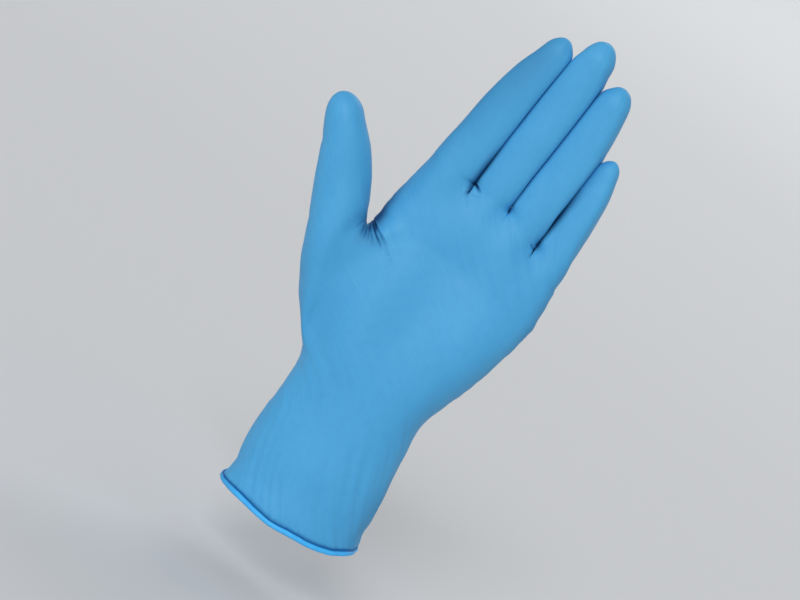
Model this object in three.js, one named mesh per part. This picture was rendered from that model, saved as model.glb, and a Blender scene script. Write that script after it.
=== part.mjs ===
import * as THREE from "three";

// A thin nitrile glove for a left hand, in millimetres, in the form that it has when it is worn.
// +Z runs from the cuff to the middle fingertip, the palm faces -Y and the thumb points to -X.
// The origin is the middle of the cuff's mouth.

// Film: the real film is about 0.12 mm thick, and this wall stands for it
const WALL = 1.0;

// Rolled edge of the cuff
const BEAD_RADIUS = 1.5;
const BEAD_SIDES = 10;
const BEAD_GAP = 0.3; // between the wall's end and the bead
const BEAD_OUT = 0.2; // from the wall's outer face to the bead's middle

// The cuff's rim leans: it is lower on the thumb side and at the palm
const RIM = { middle: 2.4, perX: 0.07, perY: 0.11, fadesAt: 40 };

// Palm side and back are each divided into this many columns of points
const COLUMNS = 12;

// Sections of the cuff, wrist and palm. left and right are x, palmDeep and backDeep the depths
// on each side of the middle plane, and full is the power of the superellipse.
const HAND = table("z left right palmDeep backDeep full", [
  [0, -33.2, 29.9, 22.0, 21.5, 2.1],
  [5, -33.0, 29.8, 21.6, 21.2, 2.1],
  [12, -33.3, 29.4, 21.0, 21.0, 2.1],
  [24, -34.6, 28.8, 21.0, 21.0, 2.1],
  [38, -34.6, 27.2, 20.5, 20.5, 2.15],
  [52, -34.4, 25.4, 20.0, 20.0, 2.2],
  [63, -36.0, 24.4, 20.0, 19.0, 2.4],
  [76, -44.5, 28.0, 20.0, 18.0, 2.3],
  [98, -46.5, 35.2, 17.5, 16.0, 2.45],
  [122, -42.3, 39.7, 13.9, 13.9, 2.65],
  [131, -40.6, 40.2, 12.6, 12.6, 2.9],
  [144, -38.9, 39.0, 11.2, 11.3, 3.2],
]);

// Columns are spread evenly round the cuff, and from here to there they move to the finger roots
const COLUMNS_MOVE = { from: 60, to: 140 };

// The last sections dip towards the little finger, whose root is lower than the others
const LITTLE_DIP = { depth: 8, fromZ: 110, toZ: 144, fromX: 6, toX: 32 };

// Soft mounds: place, reach in x and z, and height above the section
const MOUNDS = "x z reachX reachZ height";
const PALM_MOUNDS = table(MOUNDS, [
  [-30, 94, 20, 26, 4.2], // ball of the thumb
  [22, 88, 15, 28, 3.4], // heel of the hand
  [-2, 112, 14, 20, -1.6], // hollow of the palm
  [-24, 147, 10, 9, 0.9], // pads below the fingers
  [-4, 147, 9, 9, 0.9],
  [13, 146, 9, 9, 0.9],
  [30, 139, 9, 10, 0.9],
]);
const KNUCKLES = table(MOUNDS, [
  [-25, 137, 8, 9, 0.9],
  [-5, 138, 7, 9, 1.1],
  [13, 136, 7, 9, 0.9],
  [29, 130, 7, 9, 0.8],
]);

// Where the thumb leaves the hand: sections of HAND and the depths of its root there
const THUMB_ROOT = table("section palmDeep backDeep", [
  [7, 12.6, 10.0],
  [8, 17.2, 12.0],
  [9, 13.8, 10.5],
]);

// Thumb sections, each between an outer and an inner point, with its middle y and half depth
const THUMB = table("outerX outerZ innerX innerZ y halfDepth", [
  [-53.5, 86.5, -43.5, 124.6, -4.6, 15.2],
  [-60.8, 103.5, -45.4, 129.2, -7.0, 13.8],
  [-66.4, 116.5, -47.9, 135.2, -8.5, 11.8],
  [-71.8, 128.8, -52.6, 142.0, -9.5, 10.6],
  [-76.8, 140.8, -58.2, 149.8, -10.5, 10.0],
  [-81.9, 151.2, -65.2, 157.0, -11.5, 8.8],
]);
const THUMB_TIP = point(-79.0, -12.0, 163.6);

// Smaller sections that round a tip, at a share of the last stretch and of the last width
const END = "along width";
const THUMB_END = table(END, [
  [0.55, 0.8],
  [0.86, 0.48],
]);
const FINGER_END = table(END, [
  [0.5, 0.86],
  [0.84, 0.54],
]);

// Fingers. webs are the heights of the skin beside the root, left and right, and root its sides
// in x. rootY and tipY place the finger in depth, deep is the half depth at the root as a share of
// the half width, and twist turns the sections, so that neighbours meet aslant.
const SIDES = "z left right";
const FINGERS = [
  {
    webs: [160, 160.5], root: [-36.2, -14.1], rootY: 0.2, deep: 1.0, // index
    tipX: -15.0, tipY: -7.0, tipZ: 231.6, twist: -7,
    sections: table(SIDES, [
      [164, -35.4, -14.1],
      [178, -33.4, -13.0],
      [195, -31.2, -11.8],
      [209, -27.8, -10.9],
      [221, -23.6, -9.9],
    ]),
  },
  {
    webs: [160.5, 159], root: [-13.5, 3.9], rootY: 0.4, deep: 1.2, // middle
    tipX: 0.0, tipY: -8.5, tipZ: 239.2, twist: -8,
    sections: table(SIDES, [
      [164, -13.4, 3.9],
      [179, -12.5, 5.3],
      [197, -11.4, 6.6],
      [213, -10.0, 7.4],
      [228, -8.4, 7.3],
    ]),
  },
  {
    webs: [159, 152.5], root: [4.3, 21.8], rootY: 0.4, deep: 1.16, // ring
    tipX: 15.2, tipY: -8.5, tipZ: 227.6, twist: -9,
    sections: table(SIDES, [
      [163, 4.3, 22.2],
      [175, 5.3, 23.4],
      [191, 6.5, 24.2],
      [205, 7.5, 24.4],
      [217, 8.2, 23.0],
    ]),
  },
  {
    webs: [152.5, 150], root: [22.2, 38.9], rootY: 0.6, deep: 1.1, // little
    tipX: 29.0, tipY: -3.5, tipZ: 201.0, twist: -12,
    sections: table(SIDES, [
      [157, 22.6, 38.2],
      [166, 23.1, 37.9],
      [176, 23.7, 37.5],
      [186, 24.3, 36.4],
      [193, 24.6, 34.8],
    ]),
  },
];
const FINGER_GAP = 0.5; // between neighbours
const FINGER_BEND = 1.7; // power by which a finger leaves its root's depth for its tip's
const ROOT_FULLER = 1.01; // a root's depth against the depth of the finger just above it
const TIP_DEEP = 0.98; // half depth at a fingertip, as a share of its half width

// Eight points round a limb's section, as shares of its half width and half depth. They start at
// the left of the palm side. ROOT_RISE is how far each lies above the webs at a finger's root.
const SECTION = { square: squareSection(0.82, 0.8), root: squareSection(0.74, 0.78), round: roundSection() };
const ROOT_RISE = [-1.0, -2.5, -1.0, -1.5, -7.0, -7.5, -7.0, -1.5];

const FIT_ROUNDS = 6; // rounds of moving the cage until the smooth skin meets the sections

// Reading tables and small sums

function table(names, rows) {
  const keys = names.split(" ");
  return rows.map((row) => Object.fromEntries(keys.map((key, i) => [key, row[i]])));
}

function point(x, y, z) {
  return new THREE.Vector3(x, y, z);
}

function smooth(value) {
  return THREE.MathUtils.smoothstep(value, 0, 1);
}

function mix(a, b, share) {
  return a + (b - a) * share;
}

function squareSection(wide, deep) {
  return [[-wide, -deep], [0, -1], [wide, -deep], [1, 0], [wide, deep], [0, 1], [-wide, deep], [-1, 0]];
}

function roundSection() {
  return squareSection(Math.SQRT1_2, Math.SQRT1_2);
}

// Fingers

// Share of the way from the webs' height to the tip's
function upFinger(finger, z) {
  const root = (finger.webs[0] + finger.webs[1]) / 2;
  return Math.max((z - root) / (finger.tipZ - root), 0);
}

function fingerDepth(finger, z) {
  return mix(finger.rootY, finger.tipY, upFinger(finger, z) ** FINGER_BEND);
}

// Middle, half width and height of each section, with two smaller ones that round the tip
function fingerSections(finger) {
  const sections = finger.sections.map(({ z, left, right }) => {
    return { z, x: (left + right) / 2, half: (right - left - FINGER_GAP) / 2 };
  });
  const last = sections[sections.length - 1];
  for (const { along, width } of FINGER_END) {
    sections.push({
      z: mix(last.z, finger.tipZ, along),
      x: mix(last.x, finger.tipX, along),
      half: last.half * width,
    });
  }
  return sections;
}

// The middle line's lean in x at section i, from its neighbours (weighted by their distances)
function lean(sections, i) {
  const rise = (a, b) => (sections[b].x - sections[a].x) / (sections[b].z - sections[a].z);
  if (i === 0) return rise(0, 1);
  if (i === sections.length - 1) return rise(i - 1, i);
  const below = sections[i].z - sections[i - 1].z;
  const above = sections[i + 1].z - sections[i].z;
  return (rise(i - 1, i) * above + rise(i, i + 1) * below) / (below + above);
}

// Rings of eight points along a finger, square to its middle line and turned by its twist
function fingerRings(finger) {
  const sections = fingerSections(finger);
  const straight = finger.sections.length;
  return sections.map(({ z, x, half }, i) => {
    const deep = half * mix(finger.deep, TIP_DEEP, Math.min(upFinger(finger, z), 1));
    const across = point(1, 0, -lean(sections, i)).normalize();
    const tilt = (fingerDepth(finger, z + 1) - fingerDepth(finger, z - 1)) / 2;
    const through = point(0, 1, -tilt).normalize();
    const rounding = smooth((i - straight + 2) / 3);
    const turn = THREE.MathUtils.degToRad(finger.twist) * smooth((i + 1) / 2);
    const middle = point(x, fingerDepth(finger, z), z);
    return SECTION.square.map((square, k) => {
      const u = mix(square[0], SECTION.round[k][0], rounding) * half;
      const v = mix(square[1], SECTION.round[k][1], rounding) * deep;
      return middle.clone()
        .addScaledVector(across, u * Math.cos(turn) - v * Math.sin(turn))
        .addScaledVector(through, u * Math.sin(turn) + v * Math.cos(turn));
    });
  });
}

function fingerRoot(finger) {
  const [left, right] = finger.root;
  const half = (right - left - FINGER_GAP) / 2;
  const deep = half * finger.deep * ROOT_FULLER;
  return SECTION.root.map(([u, v], k) => {
    const web = mix(finger.webs[0], finger.webs[1], (1 + Math.sign(u)) / 2);
    return point((left + right) / 2 + u * half, finger.rootY + v * deep, web + ROOT_RISE[k]);
  });
}

function fingerTip(finger) {
  return point(finger.tipX, fingerDepth(finger, finger.tipZ), finger.tipZ);
}

// Thumb

// Rings of eight points, which start in the middle of the palm side and pass the inner side first
function thumbRings() {
  const round = SECTION.round;
  const around = [1, 2, 3, 4, 5, 6, 7, 0].map((k) => round[k]);
  const rings = THUMB.map(({ outerX, outerZ, innerX, innerZ, y, halfDepth }) => {
    const middle = point((outerX + innerX) / 2, y, (outerZ + innerZ) / 2);
    const inwards = point((innerX - outerX) / 2, 0, (innerZ - outerZ) / 2);
    return around.map(([u, v]) => middle.clone().addScaledVector(inwards, u).add(point(0, v * halfDepth, 0)));
  });
  const last = rings[rings.length - 1];
  const middle = last.reduce((sum, p) => sum.add(p), point(0, 0, 0)).divideScalar(last.length);
  for (const { along, width } of THUMB_END) {
    const centre = middle.clone().lerp(THUMB_TIP, along);
    rings.push(last.map((p) => p.clone().sub(middle).multiplyScalar(width).add(centre)));
  }
  return rings;
}

// Cuff, wrist and palm

// Places of the columns across a section, from -1 at the left side to 1 at the right
function columnPlaces(z) {
  const { left, right } = HAND[HAND.length - 1];
  const roots = FINGERS.flatMap((finger) => fingerRoot(finger).slice(0, 3).map((p) => p.x));
  const share = smooth((z - COLUMNS_MOVE.from) / (COLUMNS_MOVE.to - COLUMNS_MOVE.from));
  return roots.map((x, i) => {
    const even = -Math.cos((Math.PI * (i + 1)) / (COLUMNS + 1));
    return mix(even, (2 * x - left - right) / (right - left), share);
  });
}

function moundHeight(mounds, x, z) {
  return mounds.reduce((sum, mound) => {
    const far = ((x - mound.x) / mound.reachX) ** 2 + ((z - mound.z) / mound.reachZ) ** 2;
    return sum + mound.height * Math.exp(-far);
  }, 0);
}

// A ring round the hand: palm side left to right, right side, back right to left, left side
function handRing(section, index) {
  const { z, left, right, palmDeep, backDeep, full } = section;
  const root = THUMB_ROOT.find((row) => row.section === index);
  const palm = [];
  const back = [];
  for (const place of columnPlaces(z)) {
    const x = (left + right) / 2 + (place * (right - left)) / 2;
    const swell = (1 - Math.abs(place) ** full) ** (1 / full);
    const raised = Math.min(1.5 * swell, 1);
    let front = palmDeep * swell + raised * moundHeight(PALM_MOUNDS, x, z);
    let rear = backDeep * swell + raised * moundHeight(KNUCKLES, x, z);
    if (root) {
      const share = smooth((-place - 0.35) / 0.55);
      front = mix(front, root.palmDeep, share);
      rear = mix(rear, root.backDeep, share);
    }
    palm.push(point(x, -front, z));
    back.unshift(point(x, rear, z));
  }
  const ring = [...palm, point(right, 0, z), ...back, point(left, 0, z)];
  const rimShare = 1 - smooth(z / RIM.fadesAt);
  const dipShare = smooth((z - LITTLE_DIP.fromZ) / (LITTLE_DIP.toZ - LITTLE_DIP.fromZ));
  for (const p of ring) {
    const side = smooth((p.x - LITTLE_DIP.fromX) / (LITTLE_DIP.toX - LITTLE_DIP.fromX));
    p.z += rimShare * (RIM.middle + RIM.perX * p.x + RIM.perY * p.y) - LITTLE_DIP.depth * dipShare * side;
  }
  return ring;
}

// The whole skin as a net of four-sided faces: rings round the hand, a hole where the thumb leaves
// it, the finger roots with a web between each two, and rings along each limb to its tip.
function skinNet() {
  const points = [];
  const quads = [];
  const add = (list) => list.map((p) => points.push(p) - 1);
  const round = 2 * COLUMNS + 2;
  const palmFirst = 0;
  const leftSide = round - 1;
  const backLast = round - 2;
  const [holeLow, holeMiddle, holeHigh] = THUMB_ROOT.map((row) => row.section);

  const rings = HAND.map((section, j) => {
    const ring = handRing(section, j);
    return add(j === holeMiddle ? ring.slice(0, leftSide) : ring);
  });

  const roots = FINGERS.map(fingerRoot);
  const rootIds = roots.map(() => new Array(8));
  const place = (finger, k) => {
    rootIds[finger][k] = add([roots[finger][k]])[0];
    return rootIds[finger][k];
  };
  const last = FINGERS.length - 1;
  const top = [];
  for (let f = 0; f <= last; f += 1) top.push(place(f, 0), place(f, 1), place(f, 2));
  top.push(place(last, 3));
  for (let f = last; f >= 0; f -= 1) top.push(place(f, 4), place(f, 5), place(f, 6));
  top.push(place(0, 7));
  rings.push(top);

  for (let j = 0; j + 1 < rings.length; j += 1) {
    const beside = j >= holeLow && j < holeHigh;
    for (let i = 0; i < round; i += 1) {
      if (beside && (i === backLast || i === leftSide)) continue;
      const next = (i + 1) % round;
      quads.push([rings[j][i], rings[j][next], rings[j + 1][next], rings[j + 1][i]]);
    }
  }

  for (let f = 0; f < last; f += 1) {
    place(f, 3);
    place(f + 1, 7);
    const [a, b] = [rootIds[f], rootIds[f + 1]];
    quads.push([a[2], b[0], b[7], a[3]], [a[3], b[7], b[6], a[4]]);
  }

  // firstCorner is the first point of the last ring that isn't on a cross through the tip
  const growLimb = (base, limbRings, tip, firstCorner) => {
    let low = base;
    for (const ring of limbRings) {
      const high = add(ring);
      high.forEach((_, i) => quads.push([low[i], low[(i + 1) % 8], high[(i + 1) % 8], high[i]]));
      low = high;
    }
    const [end] = add([tip]);
    for (let i = firstCorner; i < 8; i += 2) quads.push([low[i], low[(i + 1) % 8], low[(i + 2) % 8], end]);
  };
  FINGERS.forEach((finger, f) => growLimb(rootIds[f], fingerRings(finger), fingerTip(finger), 1));

  const [low, middle, high] = [rings[holeLow], rings[holeMiddle], rings[holeHigh]];
  const hole = [
    middle[palmFirst], high[palmFirst], high[leftSide], high[backLast],
    middle[backLast], low[backLast], low[leftSide], low[palmFirst],
  ];
  growLimb(hole, thumbRings(), THUMB_TIP, 0);
  return { points, quads };
}

// Smooth skin through the net, by Catmull and Clark's rules for four-sided faces

// For each point: its number of edges, and the sums of the points over its edges, across its
// faces, and next to it along an open rim
function surroundings({ points, quads }) {
  const found = points.map(() => {
    return { edges: 0, near: point(0, 0, 0), far: point(0, 0, 0), rim: point(0, 0, 0), open: false };
  });
  for (const { a, b, faces } of edgesOf(quads).values()) {
    for (const [from, to] of [[a, b], [b, a]]) {
      found[from].edges += 1;
      found[from].near.add(points[to]);
      if (faces.length === 1) {
        found[from].rim.add(points[to]);
        found[from].open = true;
      }
    }
  }
  for (const quad of quads) quad.forEach((id, i) => found[id].far.add(points[quad[(i + 2) % 4]]));
  return found;
}

function edgeKey(a, b) {
  return a < b ? `${a} ${b}` : `${b} ${a}`;
}

function edgesOf(quads) {
  const edges = new Map();
  quads.forEach((quad, face) => {
    quad.forEach((a, i) => {
      const b = quad[(i + 1) % 4];
      const key = edgeKey(a, b);
      if (!edges.has(key)) edges.set(key, { a, b, faces: [] });
      edges.get(key).faces.push(face);
    });
  });
  return edges;
}

// Where each point of a net ends on the smooth skin: (n n p + 4 near + far) / (n (n + 5)), and on
// an open rim (4 p + rim) / 6
function onSkin(net) {
  return surroundings(net).map(({ edges: n, near, far, rim, open }, i) => {
    const p = net.points[i].clone();
    if (open) return p.multiplyScalar(4).add(rim).divideScalar(6);
    return p.multiplyScalar(n * n).addScaledVector(near, 4).add(far).divideScalar(n * (n + 5));
  });
}

// Moves the net until the smooth skin passes through the points that it was given
function fitted(net) {
  const wanted = net.points;
  let points = wanted.map((p) => p.clone());
  for (let round = 0; round < FIT_ROUNDS; round += 1) {
    const reached = onSkin({ points, quads: net.quads });
    points = points.map((p, i) => p.clone().add(wanted[i]).sub(reached[i]));
  }
  return { points, quads: net.quads };
}

// Each face becomes four. A point moves to ((n - 7/4) n p + 3/2 near + 1/4 far) / (n n), and on an
// open rim to (6 p + rim) / 8
function divided(net) {
  const { points, quads } = net;
  const moved = surroundings(net).map(({ edges: n, near, far, rim, open }, i) => {
    const p = points[i].clone();
    if (open) return p.multiplyScalar(6).add(rim).divideScalar(8);
    return p.multiplyScalar((n - 1.75) * n).addScaledVector(near, 1.5).addScaledVector(far, 0.25).divideScalar(n * n);
  });
  const middles = quads.map((quad) => {
    return quad.reduce((sum, id) => sum.add(points[id]), point(0, 0, 0)).divideScalar(4);
  });
  const firstMiddle = moved.length;
  moved.push(...middles);
  const edgePoint = new Map();
  for (const [key, { a, b, faces }] of edgesOf(quads)) {
    const sum = points[a].clone().add(points[b]);
    if (faces.length === 2) sum.add(middles[faces[0]]).add(middles[faces[1]]);
    edgePoint.set(key, moved.push(sum.divideScalar(faces.length === 2 ? 4 : 2)) - 1);
  }
  const fine = quads.flatMap((quad, face) => {
    return quad.map((id, i) => {
      const after = edgePoint.get(edgeKey(id, quad[(i + 1) % 4]));
      const before = edgePoint.get(edgeKey(quad[(i + 3) % 4], id));
      return [id, after, firstMiddle + face, before];
    });
  });
  return { points: moved, quads: fine };
}

// Closed bodies

// Each four-sided face is cut along its shorter diagonal
function meshGeometry(points, quads) {
  const index = quads.flatMap(([a, b, c, d]) => {
    const short = points[a].distanceTo(points[c]) <= points[b].distanceTo(points[d]);
    return short ? [a, b, c, a, c, d] : [a, b, d, b, c, d];
  });
  const geometry = new THREE.BufferGeometry().setFromPoints(points);
  geometry.setIndex(index);
  geometry.computeVertexNormals();
  return geometry;
}

function outwardNormals(points, quads) {
  const normal = meshGeometry(points, quads).getAttribute("normal");
  return points.map((_, i) => new THREE.Vector3().fromBufferAttribute(normal, i));
}

// The skin with a second one inside it, one wall's thickness away, and a band that joins their rims
function wallGeometry(points, quads, normals) {
  const inner = points.map((p, i) => p.clone().addScaledVector(normals[i], -WALL));
  const shift = points.length;
  const inside = quads.map((quad) => quad.map((id) => id + shift).reverse());
  const band = rimEdges(quads).map(([a, b]) => [b, a, a + shift, b + shift]);
  return meshGeometry([...points, ...inner], [...quads, ...inside, ...band]);
}

// Edges of the open rim, in the direction in which their face runs along them
function rimEdges(quads) {
  return [...edgesOf(quads).values()].filter(({ faces }) => faces.length === 1).map(({ a, b }) => [a, b]);
}

// Ids of the rim's points in their order round the cuff
function rimLoop(quads) {
  const next = new Map(rimEdges(quads));
  const loop = [next.keys().next().value];
  while (loop.length < next.size) loop.push(next.get(loop[loop.length - 1]));
  return loop;
}

// A round section carried along the rim, below the wall's end. One side of the section is level
// and faces the wall.
function beadGeometry(points, quads, normals) {
  const step = (2 * Math.PI) / BEAD_SIDES;
  const top = BEAD_RADIUS * Math.cos(step / 2);
  const rings = rimLoop(quads).map((id) => {
    const out = normals[id].clone().setZ(0).normalize();
    const middle = points[id].clone().addScaledVector(out, BEAD_OUT);
    middle.z -= BEAD_GAP + top;
    return Array.from({ length: BEAD_SIDES }, (_, k) => {
      const angle = (k + 0.5) * step;
      const p = middle.clone().addScaledVector(out, BEAD_RADIUS * Math.sin(angle));
      p.z += BEAD_RADIUS * Math.cos(angle);
      return p;
    });
  });
  const faces = rings.flatMap((_, j) => {
    const here = j * BEAD_SIDES;
    const there = ((j + 1) % rings.length) * BEAD_SIDES;
    return Array.from({ length: BEAD_SIDES }, (_, k) => {
      const after = (k + 1) % BEAD_SIDES;
      return [here + k, here + after, there + after, there + k];
    });
  });
  return meshGeometry(rings.flat(), faces);
}

function namedMesh(name, geometry, color, roughness) {
  const mesh = new THREE.Mesh(geometry, new THREE.MeshStandardMaterial({ color, roughness, metalness: 0 }));
  mesh.name = name;
  return mesh;
}

const fine = divided(fitted(skinNet()));
const skin = onSkin(fine);
const normals = outwardNormals(skin, fine.quads);

const glove = new THREE.Group();
glove.name = "glove";
glove.add(namedMesh("glove_shell", wallGeometry(skin, fine.quads, normals), 0x4c9cd0, 0.5));
glove.add(namedMesh("cuff_bead", beadGeometry(skin, fine.quads, normals), 0x2f86d2, 0.4));

export default glove;
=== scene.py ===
import math

import bpy
import numpy as np
from mathutils import Matrix, Vector


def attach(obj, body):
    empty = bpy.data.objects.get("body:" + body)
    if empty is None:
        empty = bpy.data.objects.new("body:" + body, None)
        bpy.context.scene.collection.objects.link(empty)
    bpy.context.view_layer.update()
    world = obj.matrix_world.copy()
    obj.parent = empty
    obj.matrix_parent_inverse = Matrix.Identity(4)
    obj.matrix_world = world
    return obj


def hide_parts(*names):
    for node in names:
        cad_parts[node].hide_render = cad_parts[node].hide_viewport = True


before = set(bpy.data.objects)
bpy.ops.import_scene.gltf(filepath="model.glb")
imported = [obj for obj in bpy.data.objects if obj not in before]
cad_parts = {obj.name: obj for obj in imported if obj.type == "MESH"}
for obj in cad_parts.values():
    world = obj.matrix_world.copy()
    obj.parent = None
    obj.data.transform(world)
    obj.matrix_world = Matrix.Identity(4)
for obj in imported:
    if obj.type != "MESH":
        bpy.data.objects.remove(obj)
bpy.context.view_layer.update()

# The looks of a thin nitrile glove for a left hand, in the form that it has when it is worn.
# Lengths are in millimetres and become metres where a mesh is made. +Z runs from the cuff to the
# middle fingertip, the palm faces -Y and the thumb points to -X.

MM = 0.001
BODY = "root"


def table(names, rows):
    """Rows of numbers as one array whose columns have names."""
    return np.array([tuple(row) for row in rows], dtype=[(name, float) for name in names.split()])


# The form of the glove

# The cuff's rim leans: it is lower on the thumb side and at the palm
RIM = {"middle": 2.4, "per_x": 0.07, "per_y": 0.11, "fades_at": 40}

# Palm side and back are each divided into this many columns of points
COLUMNS = 12

# Sections of the cuff, wrist and palm. left and right are x, palm and back the depths on each
# side of the middle plane, and full is the power of the superellipse.
HAND = table("z left right palm back full", [
    (0, -33.2, 29.9, 22, 21.5, 2.1),
    (5, -33, 29.8, 21.6, 21.2, 2.1),
    (12, -33.3, 29.4, 21, 21, 2.1),
    (24, -34.6, 28.8, 21, 21, 2.1),
    (38, -34.6, 27.2, 20.5, 20.5, 2.15),
    (52, -34.4, 25.4, 20, 20, 2.2),
    (63, -36, 24.4, 20, 19, 2.4),
    (76, -44.5, 28, 20, 18, 2.3),
    (98, -46.5, 35.2, 17.5, 16, 2.45),
    (122, -42.3, 39.7, 13.9, 13.9, 2.65),
    (131, -40.6, 40.2, 12.6, 12.6, 2.9),
    (144, -38.9, 39, 11.2, 11.3, 3.2),
])

# Columns are spread evenly round the cuff, and from here to there they move to the finger roots
COLUMNS_MOVE = (60, 140)

# The last sections dip towards the little finger, whose root is lower than the others
LITTLE_DIP = {"depth": 8, "z": (110, 144), "x": (6, 32)}

# Soft mounds: place, reach in x and z, and height above the section
PLACED = "x z reach_x reach_z height"
MOUNDS_FULL = 1.5  # towards a section's sides they keep this times its swell, at most all
PALM_MOUNDS = table(PLACED, [
    (-30, 94, 20, 26, 4.2),  # ball of the thumb
    (22, 88, 15, 28, 3.4),  # heel of the hand
    (-2, 112, 14, 20, -1.6),  # hollow of the palm
    (-24, 147, 10, 9, 0.9),  # pads below the fingers
    (-4, 147, 9, 9, 0.9),
    (13, 146, 9, 9, 0.9),
    (30, 139, 9, 10, 0.9),
])
KNUCKLES = table(PLACED, [
    (-25, 137, 8, 9, 0.9),
    (-5, 138, 7, 9, 1.1),
    (13, 136, 7, 9, 0.9),
    (29, 130, 7, 9, 0.8),
])

# Where the thumb leaves the hand: sections of HAND and the depths of its root there
THUMB_ROOT = table("section palm back", [
    (7, 12.6, 10),
    (8, 17.2, 12),
    (9, 13.8, 10.5),
])

# Shares of the half width between which the thumb's side of a section takes its root's depths
THUMB_BESIDE = (0.35, 0.9)

# Thumb sections, each between an outer and an inner point, with its middle y and half depth
THUMB = table("outer_x outer_z inner_x inner_z y half_depth", [
    (-53.5, 86.5, -43.5, 124.6, -4.6, 15.2),
    (-60.8, 103.5, -45.4, 129.2, -7, 13.8),
    (-66.4, 116.5, -47.9, 135.2, -8.5, 11.8),
    (-71.8, 128.8, -52.6, 142, -9.5, 10.6),
    (-76.8, 140.8, -58.2, 149.8, -10.5, 10),
    (-81.9, 151.2, -65.2, 157, -11.5, 8.8),
])
THUMB_TIP = np.array([-79.0, -12.0, 163.6])

# Smaller sections that round a tip, at a share of the last stretch and of the last width
THUMB_END = table("along width", [(0.55, 0.8), (0.86, 0.48)])
FINGER_END = table("along width", [(0.5, 0.86), (0.84, 0.54)])

# Fingers. webs are the heights of the skin beside the root, left and right, and root its sides
# in x. root_y and the tip's y place the finger in depth, deep is the half depth at the root as a
# share of the half width, and twist turns the sections, so that neighbours meet aslant.
SIDES = "z left right"
FINGERS = {
    "index": {
        "webs": (160, 160.5), "root": (-36.2, -14.1), "root_y": 0.2, "deep": 1.0,
        "tip": (-15.0, -7.0, 231.6), "twist": -7,
        "sections": table(SIDES, [
            (164, -35.4, -14.1),
            (178, -33.4, -13),
            (195, -31.2, -11.8),
            (209, -27.8, -10.9),
            (221, -23.6, -9.9),
        ]),
    },
    "middle": {
        "webs": (160.5, 159), "root": (-13.5, 3.9), "root_y": 0.4, "deep": 1.2,
        "tip": (0.0, -8.5, 239.2), "twist": -8,
        "sections": table(SIDES, [
            (164, -13.4, 3.9),
            (179, -12.5, 5.3),
            (197, -11.4, 6.6),
            (213, -10, 7.4),
            (228, -8.4, 7.3),
        ]),
    },
    "ring": {
        "webs": (159, 152.5), "root": (4.3, 21.8), "root_y": 0.4, "deep": 1.16,
        "tip": (15.2, -8.5, 227.6), "twist": -9,
        "sections": table(SIDES, [
            (163, 4.3, 22.2),
            (175, 5.3, 23.4),
            (191, 6.5, 24.2),
            (205, 7.5, 24.4),
            (217, 8.2, 23),
        ]),
    },
    "little": {
        "webs": (152.5, 150), "root": (22.2, 38.9), "root_y": 0.6, "deep": 1.1,
        "tip": (29.0, -3.5, 201.0), "twist": -12,
        "sections": table(SIDES, [
            (157, 22.6, 38.2),
            (166, 23.1, 37.9),
            (176, 23.7, 37.5),
            (186, 24.3, 36.4),
            (193, 24.6, 34.8),
        ]),
    },
}
FINGER_GAP = 0.5  # between neighbours
FINGER_BEND = 1.7  # power by which a finger leaves its root's depth for its tip's
ROOT_FULLER = 1.01  # a root's depth against the depth of the finger just above it
TIP_DEEP = 0.98  # half depth at a fingertip, as a share of its half width
FINGER_ROUNDS = {"before_end": 2, "over": 3}  # sections that turn from square to round near the tip
TWIST_OVER = 2  # sections over which a finger's twist sets in


def square_section(wide, deep):
    """Eight points round a section, as shares of half width and half depth, from the palm side's left."""
    return np.array([(-wide, -deep), (0, -1), (wide, -deep), (1, 0),
                     (wide, deep), (0, 1), (-wide, deep), (-1, 0)])


SQUARE = square_section(0.82, 0.8)
ROOT_SQUARE = square_section(0.74, 0.78)
ROUND = square_section(math.sqrt(0.5), math.sqrt(0.5))
ROOT_RISE = np.array([-1.0, -2.5, -1.0, -1.5, -7.0, -7.5, -7.0, -1.5])  # each point above the webs

FIT_ROUNDS = 6  # rounds of moving the net until the smooth skin meets the sections
SKIN_LEVELS = 3  # how often the net is divided for the outer skin
LINING_LEVELS = 2  # and for its inner side

# The film's thickness that shows: at the mouth, and deeper in, where folds need room
WALL = {"rim": 0.5, "inside": 1.2, "changes": (4, 20)}
WALL_LOWERED = 0.8  # how far the film's end reaches down into the bead
WALL_LOWERED_FROM = 3.0

# The rolled bead of the cuff, a roll of film with a groove where it meets the film
BEAD_RADIUS = 1.46
BEAD_SIDES = 36
BEAD_OUT = 0.72  # from the film's outer face to the bead's middle
BEAD_BELOW = 0.72  # from the film's lowered end down to the bead's middle
BEAD_GROOVE = {"at": math.radians(30), "width": math.radians(20), "share": 0.2}  # from the top outwards
# Painted shade on the bead's top, where the film meets it: angle of its middle from the top, and width
BEAD_SHADE = {"at": math.radians(4), "width": math.radians(40)}
BEAD_DARKER = {"x": (-18, -34), "share": 0.3}  # painted shade, darker towards its left end
BEAD_LIP = {"at": math.radians(118), "width": math.radians(16), "share": 0.07}
# At the left and right ends of the mouth the bead is thinner, and the film flares out to it
BEAD_ENDS = {"power": 6, "thinner": 0.3, "flare": 0.75, "reach": 2.4}
BEAD_UNEVEN = table("waves phase radius height out", [
    (3, 0.4, 0.045, 0.1, 0.1),
    (7, 2.1, 0.03, 0.1, 0.06),
    (13, 5, 0.02, 0.07, 0.05),
    (31, 1.2, 0.014, 0.03, 0.03),
])

# The worn rim isn't quite in one plane: how far it is lifted or lowered from its lean
RIM_LIFT = table("x lift", [
    (-33.6, 0.2),
    (-32, 1.3),
    (-29, 1.75),
    (-22, 1.8),
    (-18, 1.5),
    (-12, 0.6),
    (-6, -0.1),
    (6, -0.15),
    (12, -0.4),
    (16, -0.45),
    (20, -0.25),
    (24, 0.25),
    (27, 0.9),
    (30, 1.25),
])
RIM_LIFT_FADES = 12.0  # height above the rim

# The finish of the skin

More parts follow.
